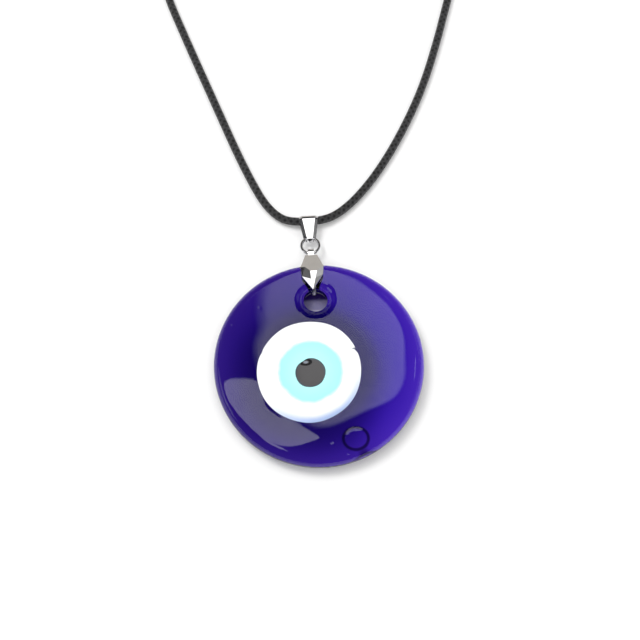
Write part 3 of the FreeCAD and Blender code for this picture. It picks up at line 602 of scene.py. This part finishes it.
def drop(name, place, radius, lift, crown, depth, outline, material):
    """A drop of glass: a low crown that follows the poured face, with an uneven outline."""
    turns, rows = 144, []
    profile = [(0.02, -depth), (0.9, -depth), (0.98, -depth * 0.6), (1.0, -0.05), (0.995, 0.0)]
    profile += [(math.cos(math.radians(angle)), None) for angle in range(8, 89, 8)]
    profile.append((0.015, None))
    for share, rise in profile:
        row = []
        for item in range(turns):
            angle = 2 * math.pi * item / turns
            reach = radius * share * (1 + (outline(math.degrees(angle)) - 1) * share)
            x, y = place[0] + reach * math.cos(angle), place[1] + reach * math.sin(angle)
            above = crown * (1 - share * share) if rise is None else rise
            row.append((x, y, dome(x, y) + lift + above))
        rows.append(row)
    points, faces = looped(rows, close_rows=False)
    last = (len(rows) - 1) * turns
    faces.append(tuple(range(turns)))
    faces.append(tuple(range(last, last + turns)))
    return mesh_object(name, points, faces, material, 60.0)


def bulge(angle, centre, spread, height):
    """A rise of an outline about one direction, in degrees."""
    away = (angle - centre + 180) % 360 - 180
    return height * math.exp(-(away / spread) ** 2)


def white_outline(angle):
    return (1.0 + bulge(angle, 48, 26, 0.022) + bulge(angle, 205, 40, 0.008)
            - bulge(angle, 22, 2.2, 0.03) - bulge(angle, 154, 3, 0.012)
            - bulge(angle, 330, 40, 0.006) + 0.003 * math.sin(math.radians(angle * 7)))


def aqua_outline(angle):
    wave = math.radians(angle)
    return 1.0 + 0.012 * math.sin(3 * wave + 1) + 0.008 * math.sin(5 * wave)


def pupil_outline(angle):
    wave = math.radians(angle)
    return (1.0 + 0.018 * math.sin(2 * wave + 0.5) - bulge(angle, 118, 12, 0.04)
            + bulge(angle, 60, 20, 0.02) + 0.01 * math.sin(5 * wave))


def make_eye(settings):
    pieces = [
        ("eye_white_drop", EYE, settings.white_radius, 0.05, 0.16, 1.0, white_outline,
         white_material(settings), "white_glass", "eye_white"),
        ("eye_aqua_drop", AQUA, settings.aqua_radius, 0.15, 0.12, 0.5, aqua_outline,
         aqua_material(settings), "aqua_glass", "eye_aqua"),
        ("eye_pupil_drop", PUPIL, settings.pupil_radius, 0.26, 0.1, 0.5, pupil_outline,
         pupil_material(settings), "dark_glass", "eye_pupil"),
    ]
    for name, place, radius, lift, crown, depth, outline, material, slot, node in pieces:
        piece = drop(name, place, radius / MM, lift, crown, depth, outline, material)
        dress(piece, "glass", slot, node)


# ---------------------------------------------------------------- bails and ring


def arc(radius, along, start, sweep, steps):
    """Points (y, z, outward direction) round the middle of a loop that lies that far along Y."""
    points = []
    for step in range(steps + 1):
        angle = start + sweep * step / steps
        way = (math.cos(angle), math.sin(angle))
        points.append((way[0] * radius + along, way[1] * radius, way))
    return points


def straight(first, last, steps):
    """Points between two ends of a flat run, without the ends."""
    return [(first[0] + (last[0] - first[0]) * step / steps,
             first[1] + (last[1] - first[1]) * step / steps, first[2]) for step in range(1, steps)]


def strap_side():
    """The strap's side view: outward points and directions, from over the cord round the ring."""
    lean = math.asin((STRAP_LOOP - STRAP_HOOK) / STRAP_RUN)
    loop = arc(STRAP_LOOP, 0.0, -math.pi / 2 - lean, math.pi + 2 * lean, 40)
    hook = arc(STRAP_HOOK, -STRAP_RUN, math.pi / 2 + lean, math.pi - 2 * lean, 32)
    return loop + straight(loop[-1], hook[0], 24) + hook + straight(hook[-1], loop[0], 24)


def strap_width(y):
    """Half the strap's width at a distance from the cord: a taper, then a narrow tongue."""
    taper = 2.45 + (1.5 - 2.45) * min(max((1.2 - y) / 5.7, 0.0), 1.0)
    return taper - 0.85 * smoothed(-y, 4.4, 6.0)


def make_strap(material):
    rows = []
    for y, z, way in strap_side():
        half = strap_width(y)
        flank = min(0.7, half * 0.5)
        section = []
        for across, depth in ((-half + flank, 0.0), (half - flank, 0.0), (half, STRAP_CHAMFER),
                              (half, STRAP_WALL), (-half, STRAP_WALL), (-half, STRAP_CHAMFER)):
            section.append((STRAP_EYE[0] + across, STRAP_EYE[1] + y - way[0] * depth,
                            STRAP_EYE[2] + z - way[1] * depth))
        rows.append(section)
    piece = mesh_object("strap_bail", *looped(rows), material, 24.0)
    return dress(piece, "strap", "silver_plate", "cord_bail")


def make_ring(material):
    """The jump ring, tilted as the designed one is."""
    low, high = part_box("jump_ring")
    middle = (low + high) / 2
    size = high - low
    lean = math.asin((size.z / MM - 2 * RING_WIRE) / (2 * RING_TRACK))
    rows = []
    for item in range(96):
        angle = math.radians(RING_START) + 2 * math.pi * item / 96
        section = []
        for step in range(24):
            turn = 2 * math.pi * step / 24
            reach = RING_TRACK + RING_WIRE * math.cos(turn)
            across, along = reach * math.cos(angle), reach * math.sin(angle)
            rise = RING_WIRE * math.sin(turn)
            section.append((middle.x / MM + across,
                            middle.y / MM + along * math.cos(lean) + rise * math.sin(lean),
                            middle.z / MM - along * math.sin(lean) + rise * math.cos(lean)))
        rows.append(section)
    piece = mesh_object("ring_wire", *looped(rows), material)
    return dress(piece, "ring", "silver_plate", "jump_ring")


# ---------------------------------------------------------------- cord


def spiral(first_turn, last_turn):
    """Points of the coil's turns, which count from the top and shrink as they go."""
    points = []
    count = int(round(abs(last_turn - first_turn) * 28))
    for step in range(count + 1):
        turn = first_turn + (last_turn - first_turn) * step / count
        radius = COIL_TURN - COIL_SHRINK * (turn - first_turn)
        angle = math.pi / 2 - 2 * math.pi * turn
        points.append((COIL[0] + radius * math.cos(angle), COIL[1] + radius * math.sin(angle),
                       COIL_HEIGHT))
    return points


def cord_corners():
    """The whole cord: left end, over and round the coil, down, through the bail and back."""
    left = spiral(0.0, 0.96)
    right = spiral(0.5, 1.96)
    left_over = [(2.6, 94.85, 1.85), (5.2, 94.85, 2.95), (8.0, 94.85, 3.5), (11.2, 94.85, 3.5)]
    right_over = [(3.2, 92.75, 1.6), (6.2, 92.75, 2.4), (8.6, 92.75, 3.4), (11.4, 92.75, 3.5)]
    whole = left + left_over + list(LEFT_TAIL_POINTS)
    whole.reverse()
    return whole + list(NECK_POINTS) + right + right_over + list(RIGHT_TAIL_POINTS)


def rounded(corners, fine=24):
    """Points close together on a line that rounds each corner off."""
    points = [corners[0]]
    for before, corner, after in zip(corners, corners[1:], corners[2:]):
        start = [(a + b) / 2 for a, b in zip(before, corner)]
        end = [(a + b) / 2 for a, b in zip(corner, after)]
        for step in range(fine):
            part = step / fine
            points.append([a * (1 - part) ** 2 + 2 * b * part * (1 - part) + c * part ** 2
                           for a, b, c in zip(start, corner, end)])
    points.append(corners[-1])
    return [Vector(point) for point in points]


def evenly(points, gap):
    """The same line with its points an equal distance apart."""
    lengths = [0.0]
    for before, after in zip(points, points[1:]):
        lengths.append(lengths[-1] + (after - before).length)
    count = int(round(lengths[-1] / gap))
    spots, index = [], 0
    for step in range(count + 1):
        want = lengths[-1] * step / count
        while index < len(points) - 2 and lengths[index + 1] < want:
            index += 1
        span = lengths[index + 1] - lengths[index]
        part = (want - lengths[index]) / span if span else 0.0
        spots.append(points[index].lerp(points[index + 1], part))
    return spots


def make_cord(settings):
    shift = Vector((STRAP_EYE[0], STRAP_EYE[1], 0.0))
    spots = [(spot + shift) * MM for spot in evenly(rounded(cord_corners()), CORD_STEP)]
    curve = bpy.data.curves.new("waxed_cord_line", "CURVE")
    curve.dimensions = "3D"
    curve.twist_mode = "MINIMUM"
    line = curve.splines.new("NURBS")
    line.points.add(len(spots) - 1)
    for point, spot in zip(line.points, spots):
        point.co = (*spot, 1.0)
    line.order_u = 3
    line.use_endpoint_u = True
    line.resolution_u = 3
    curve.bevel_depth = settings.width / 2
    curve.bevel_resolution = 6
    curve.use_fill_caps = True
    curve.materials.append(cord_material(settings))
    piece = bpy.data.objects.new("waxed_cord_whole", curve)
    bpy.context.scene.collection.objects.link(piece)
    dress(piece, "cord", "waxed_cord", "cord_neck", "cord_tail_left", "cord_tail_right",
          "cord_coil")
    return piece


# ---------------------------------------------------------------- stage


def mirrored(x, y):
    """Where a softbox's edge stands, so that it is seen at a place on the glass."""
    eye = Vector(CAMERA_PLACE)
    spot = Vector((x, y, GLASS_TOP - (x * x + y * y) / (2 * DOME_RADIUS)))
    ray = (spot - eye).normalized()
    normal = Vector((x / DOME_RADIUS, y / DOME_RADIUS, 1.0)).normalized()
    out = ray - 2 * ray.dot(normal) * normal
    return spot + out * ((BOX_HEIGHT - spot.z) / out.z)


def softer(outline):
    """The outline with its corners cut twice."""
    for _ in range(2):
        cut = []
        for spot, after in zip(outline, (*outline[1:], outline[0])):
            for part in (0.25, 0.75):
                cut.append([a + (b - a) * part for a, b in zip(spot, after)])
        outline = cut
    return outline


def turned_left(line):
    """Whether an outline runs anticlockwise."""
    return sum(a[0] * b[1] - b[0] * a[1] for a, b in zip(line, (*line[1:], line[0]))) > 0


def make_panel(name, outline, brightness):
    """A lit panel over the table that only shows in reflections, and fades out at its edge."""
    shader = Surface(name, Base_Color=(0, 0, 0, 1), Roughness=1.0, Emission_Strength=brightness)
    shader.surface.inputs["Specular IOR Level"].default_value = 0.0
    glow = shader.add("ShaderNodeAttribute", "Fac", {"attribute_name": "glow"})
    speckle = shader.noise(90.0, 3.0).step(0.3, 0.6)
    shader.vary("Emission Color",
                shader.mix(glow.step(0.0, 1.0) * (0.86 + speckle * 0.14), (0, 0, 0), (1, 0.98, 0.97)))
    line = softer(outline)
    rims = [[], []]
    for before, spot, after in zip((line[-1], *line), line, (*line[1:], line[0])):
        along = Vector((after[0] - before[0], after[1] - before[1])).normalized()
        for rim, side in zip(rims, (-0.5, 0.5)):
            reach = spot[2] * side
            rim.append(mirrored(spot[0] - along.y * reach, spot[1] + along.x * reach))
    count = len(line)
    faces = [(item, (item + 1) % count, count + (item + 1) % count, count + item)
             for item in range(count)]
    inner = 1 if turned_left(line) else 0
    faces.append(tuple(range(count * inner, count * inner + count)))
    piece = mesh_object(name, rims[0] + rims[1], faces, shader.material)
    fade = piece.data.attributes.new("glow", "FLOAT", "POINT")
    fade.data.foreach_set("value", [float(item // count == inner) for item in range(2 * count)])
    piece.visible_camera = False
    piece.visible_shadow = False
    return piece


def distance_from(spot, right, up, wide=1.0, high=1.0):
    """Distance of the shaded point from a spot, in millimetres or in an oval's own radii."""
    return (((right - spot[0]) / wide) ** 2.0 + ((up - spot[1]) / high) ** 2.0).root()


def light_through_glass(shader, right, up):
    """Painted light and shade that the table shows through the glass: brighter and bluer at the right,
    painted shade at the lower left, about the eye and under the hole, and a dark painted ring under the
    bubble.
    """
    painted_light_slope = (right * 0.9 - up * 0.25).step(-22.0, 22.0)
    glow = shader.mix(painted_light_slope, (0.58, 0.6, 0.6), (1.25, 1.22, 1.35))
    low_left_shade = (up * -1.0 - right * 0.25).step(2.0, 20.0) * (right * -1.0).step(-19.0, -4.0)
    glow = shader.mix(low_left_shade * 0.45, glow, (0.22, 0.2, 0.3))
    # Painted shadow of the eye on the table, seen through the glass.
    eye_shadow_painted = 1.0 - distance_from(EYE, right, up).step(13.0, 21.0)
    glow = shader.mix(eye_shadow_painted * 0.55, glow, (0.14, 0.14, 0.16))
    hole_shade_painted = 1.0 - distance_from(HOLE, right, up).step(3.0, 5.4)
    glow = shader.mix(hole_shade_painted, glow, (0.2, 0.18, 0.34))
    # A dark ring painted on the table under the bubble.
    bubble = distance_from((DIMPLE[0], DIMPLE[1] + 0.8), right, up, *BUBBLE_RING)
    ring = 1.0 - (bubble - 1.0).maths("ABSOLUTE").step(0.06, 0.24)
    return shader.mix(ring * 0.8, glow, (0.02, 0.02, 0.03))


def table_in_hole(shader, right, up):
    """The table's colour, with painted blue shade inside the hole while the glass stands round it:
    paler at the hole's low edge, and a darker painted shadow under its far wall.
    """
    low_edge = (up - HOLE[1] + 1.7).step(0.0, 0.8)
    far_wall_shadow = (up - HOLE[1] - 0.9).step(0.0, 1.0)
    # Painted shade in the hole: pale blue at its low edge, deep blue under its far wall.
    inside = shader.mix(low_edge, (0.62, 0.60, 0.72), (0.25, 0.23, 0.42))
    inside = shader.mix(far_wall_shadow, inside, (0.03, 0.012, 0.16))
    open_sky = shader.add("ShaderNodeAmbientOcclusion", "AO", Distance=0.006).step(0.4, 0.6)
    outside = distance_from(HOLE, right, up).step(3.1, 3.6).largest(open_sky)
    return shader.mix(outside, inside, (0.96, 0.96, 0.96))


def make_floor():
    """A white table that keeps the ornament's shadow, with painted shade in the hole, and that glows
    with painted light and shade where it is seen through the glass.
    """
    shader = Surface("white_table", Roughness=0.9)
    shader.surface.inputs["Specular IOR Level"].default_value = 0.0
    along, across, _ = shader.place()
    right, up = along * 1000.0, across * 1000.0
    shader.vary("Base Color", table_in_hole(shader, right, up))
    # Painted light: the table glows with this pattern only for rays that come through the glass.
    glow = shader.add("ShaderNodeEmission", Strength=1.0,
                      Color=light_through_glass(shader, right, up))
    through = shader.add("ShaderNodeLightPath", "Is Transmission Ray")
    joined = shader.add("ShaderNodeMixShader")
    node = joined.source.node
    shader.feed(node.inputs[0], through)
    shader.tree.links.new(shader.surface.outputs[0], node.inputs[1])
    shader.feed(node.inputs[2], glow)
    shader.feed(shader.output.inputs["Surface"], joined)
    corners = [(-TABLE_HALF, -TABLE_HALF), (TABLE_HALF, -TABLE_HALF), (TABLE_HALF, TABLE_HALF),
               (-TABLE_HALF, TABLE_HALF)]
    points = [(*corner, TABLE_HEIGHT) for corner in corners]
    return mesh_object("table_top", points, [(0, 1, 2, 3)], shader.material)


# Lights that only reflections show: the way to each, the cosine at its edge, and its brightness.
LOBES = (
    ((-0.64, 0.08, 0.76), 0.975, 1.35),
    ((-0.52, 0.50, 0.69), 0.985, 0.14),
    ((0.60, 0.38, 0.70), 0.982, 0.5),
    ((0.77, -0.02, 0.63), 0.975, 0.3),
)


def make_world(settings):
    """Even light from all round. Reflections see it dark overhead, with a few soft lights."""
    world = bpy.data.worlds.new("studio")
    world.use_nodes = True
    bpy.context.scene.world = world
    sky = Shader(world.node_tree)
    background = sky.nodes["Background"]
    background.inputs["Strength"].default_value = 1.0
    way = sky.add("ShaderNodeTexCoord", "Generated")
    _, across, climb = sky.parts("Generated")
    table = sky.mix(across.step(0.35, 0.85), (0.8, 0.8, 0.82), (0.5, 0.47, 0.43))
    seen = sky.mix(climb.step(0.36, 0.44), table, (0.03, 0.03, 0.034))
    for aim, edge, brightness in LOBES:
        node = sky.nodes.new("ShaderNodeVectorMath")
        node.operation = "DOT_PRODUCT"
        sky.feed(node.inputs[0], way)
        node.inputs[1].default_value = Vector(aim).normalized()
        near = Value(sky, node.outputs["Value"]).step(edge, (1.0 + edge) / 2)
        seen = sky.mix(near, seen, (brightness, brightness, brightness))
    level = settings.surround
    metal = sky.add("ShaderNodeLightPath", "Is Glossy Ray")
    sky.feed(background.inputs["Color"], sky.mix(metal, (level, level, level), seen))


def make_key():
    """A soft key light from the upper left."""
    lamp = bpy.data.lights.new("key", "AREA")
    lamp.shape = "DISK"
    lamp.size = 0.22
    lamp.energy = 1.0
    key = bpy.data.objects.new("key", lamp)
    key.location = (-0.22, 0.2, 0.48)
    aim = Vector((0.0, 0.01, 0.0)) - key.location
    key.rotation_euler = aim.to_track_quat("-Z", "Y").to_euler()
    key.visible_glossy = False
    key.visible_transmission = False
    bpy.context.scene.collection.objects.link(key)
    return key


def make_camera(settings):
    data = bpy.data.cameras.new("camera")
    data.lens = settings.lens
    data.sensor_width = 36.0
    data.clip_start = 0.01
    data.clip_end = 10.0
    camera = bpy.data.objects.new("camera", data)
    place = Vector(CAMERA_PLACE) * MM
    aim = Vector(CAMERA_TARGET) * MM - place
    camera.location = place
    camera.rotation_euler = aim.to_track_quat("-Z", "Y").to_euler()
    bpy.context.scene.collection.objects.link(camera)
    bpy.context.scene.camera = camera
    return camera


# ---------------------------------------------------------------- operators


class ORNAMENT_OT_glass(bpy.types.Operator):
    """Make the cobalt glass disc with its hole"""
    bl_idname = "ornament.glass"
    bl_label = "Glass disc"

    def execute(self, context):
        make_glass(context.scene.ornament_glass)
        return {"FINISHED"}


class ORNAMENT_OT_eye(bpy.types.Operator):
    """Make the white, aqua and dark drops of the eye"""
    bl_idname = "ornament.eye"
    bl_label = "Eye"

    def execute(self, context):
        make_eye(context.scene.ornament_eye)
        return {"FINISHED"}


class ORNAMENT_OT_metal(bpy.types.Operator):
    """Make the strap bail and the jump ring, and plate the other metal pieces"""
    bl_idname = "ornament.metal"
    bl_label = "Bails, ring and findings"

    def execute(self, context):
        settings = context.scene.ornament_metal
        bright = silver_material("silver_plate", settings, settings.roughness)
        soft = silver_material("silver_findings", settings, settings.roughness + 0.08)
        make_strap(bright)
        make_ring(bright)
        for name in METAL_NODES:
            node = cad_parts[name]
            node.data.materials.clear()
            node.data.materials.append(bright if name == "pinch_bail" else soft)
            soften(node.data, 20.0 if name == "pinch_bail" else 35.0)
        return {"FINISHED"}


class ORNAMENT_OT_cord(bpy.types.Operator):
    """Make the waxed cord and the band round its coil"""
    bl_idname = "ornament.cord"
    bl_label = "Cord"

    def execute(self, context):
        make_cord(context.scene.ornament_cord)
        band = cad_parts["coil_tie"]
        band.data.materials.clear()
        band.data.materials.append(band_material())
        return {"FINISHED"}


class ORNAMENT_OT_stage(bpy.types.Operator):
    """Make the table, the lights and the camera"""
    bl_idname = "ornament.stage"
    bl_label = "Stage"

    def execute(self, context):
        settings = context.scene.ornament_stage
        panels = [make_panel("top_softbox", TOP_BOX, settings.softbox),
                  make_panel("low_softbox", LOW_BOX, settings.softbox * 1.45)]
        make_world(settings)
        make_floor()
        make_key()
        make_camera(settings)
        context.scene.view_settings.view_transform = "Standard"
        return {"FINISHED"}


class ORNAMENT_PT_panel(bpy.types.Panel):
    """Lists the steps and the settings"""
    bl_idname = "ORNAMENT_PT_panel"
    bl_label = "Evil eye ornament"
    bl_space_type = "VIEW_3D"
    bl_region_type = "UI"
    bl_category = "Evil eye"

    def draw(self, context):
        for operator in OPERATORS:
            self.layout.operator(operator.bl_idname)
        for name, group in SETTINGS.items():
            box = self.layout.box()
            for label in group.__annotations__:
                box.prop(getattr(context.scene, name), label)


OPERATORS = (ORNAMENT_OT_glass, ORNAMENT_OT_eye, ORNAMENT_OT_metal, ORNAMENT_OT_cord,
             ORNAMENT_OT_stage)


def register():
    for kind in (*SETTINGS.values(), *OPERATORS, ORNAMENT_PT_panel):
        bpy.utils.register_class(kind)
    for name, group in SETTINGS.items():
        setattr(bpy.types.Scene, name, bpy.props.PointerProperty(type=group))


def unregister():
    for name in SETTINGS:
        delattr(bpy.types.Scene, name)
    for kind in reversed((*SETTINGS.values(), *OPERATORS, ORNAMENT_PT_panel)):
        bpy.utils.unregister_class(kind)


def main():
    register()
    bpy.ops.ornament.glass()
    bpy.ops.ornament.eye()
    bpy.ops.ornament.metal()
    bpy.ops.ornament.cord()
    bpy.ops.ornament.stage()


if __name__ == "__main__":
    main()
